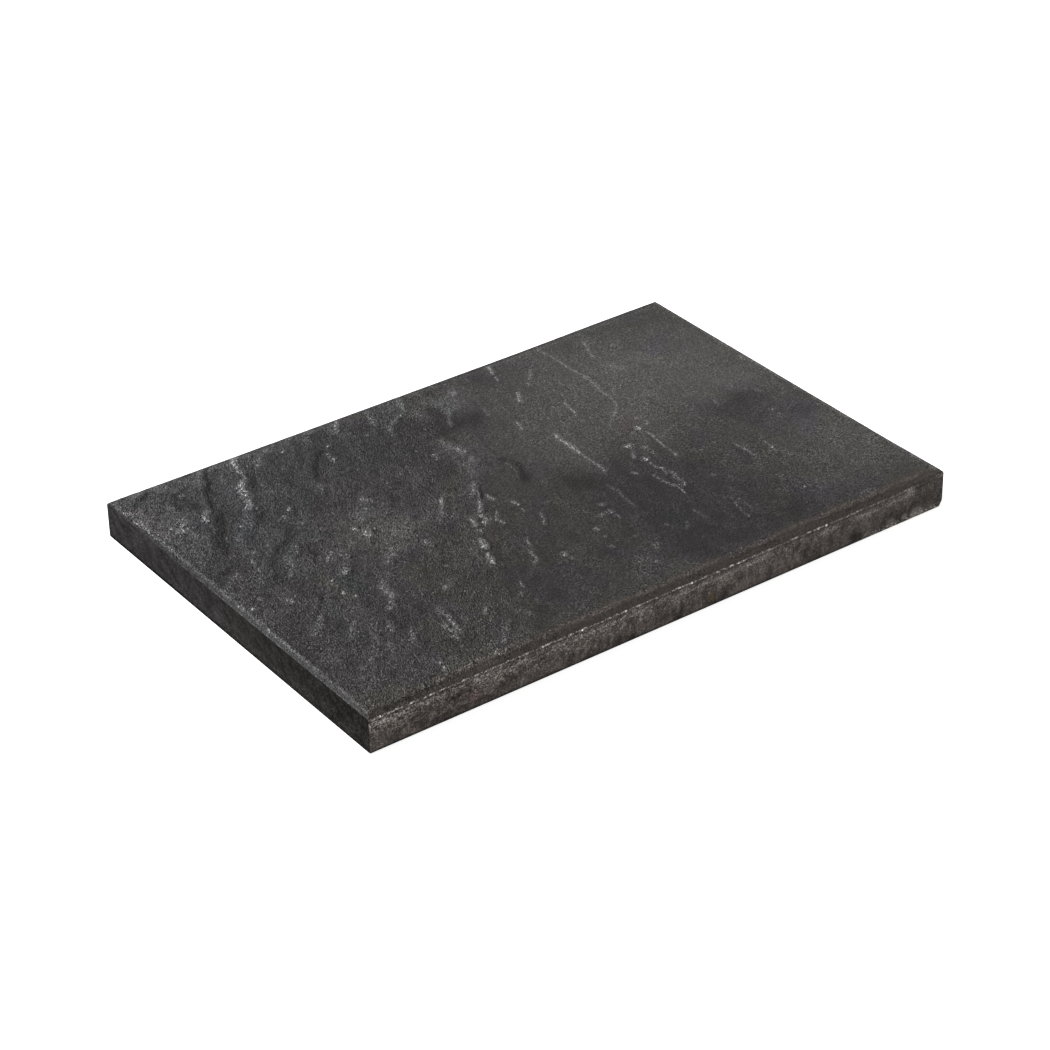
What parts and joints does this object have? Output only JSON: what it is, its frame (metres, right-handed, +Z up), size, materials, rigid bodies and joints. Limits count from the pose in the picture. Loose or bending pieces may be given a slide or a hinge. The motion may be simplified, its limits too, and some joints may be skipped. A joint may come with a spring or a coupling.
{
  "type": "stone slab",
  "caption": "Rectangular dark grey stone paving slab with a riven slate-like top face, straight sides and a small bevel round the upper edge.",
  "frame": {"origin": "middle of the flat underside", "axes": "+X along the long edges, +Y along the short edges, +Z up out of the riven face"},
  "size_m": [0.6, 0.4, 0.0362],
  "materials": {
    "stone": "riven, matt to slightly sheeny, charcoal grey"
  },
  "bodies": {
    "root": {"slab": "stone"}
  },
  "joints": []
}
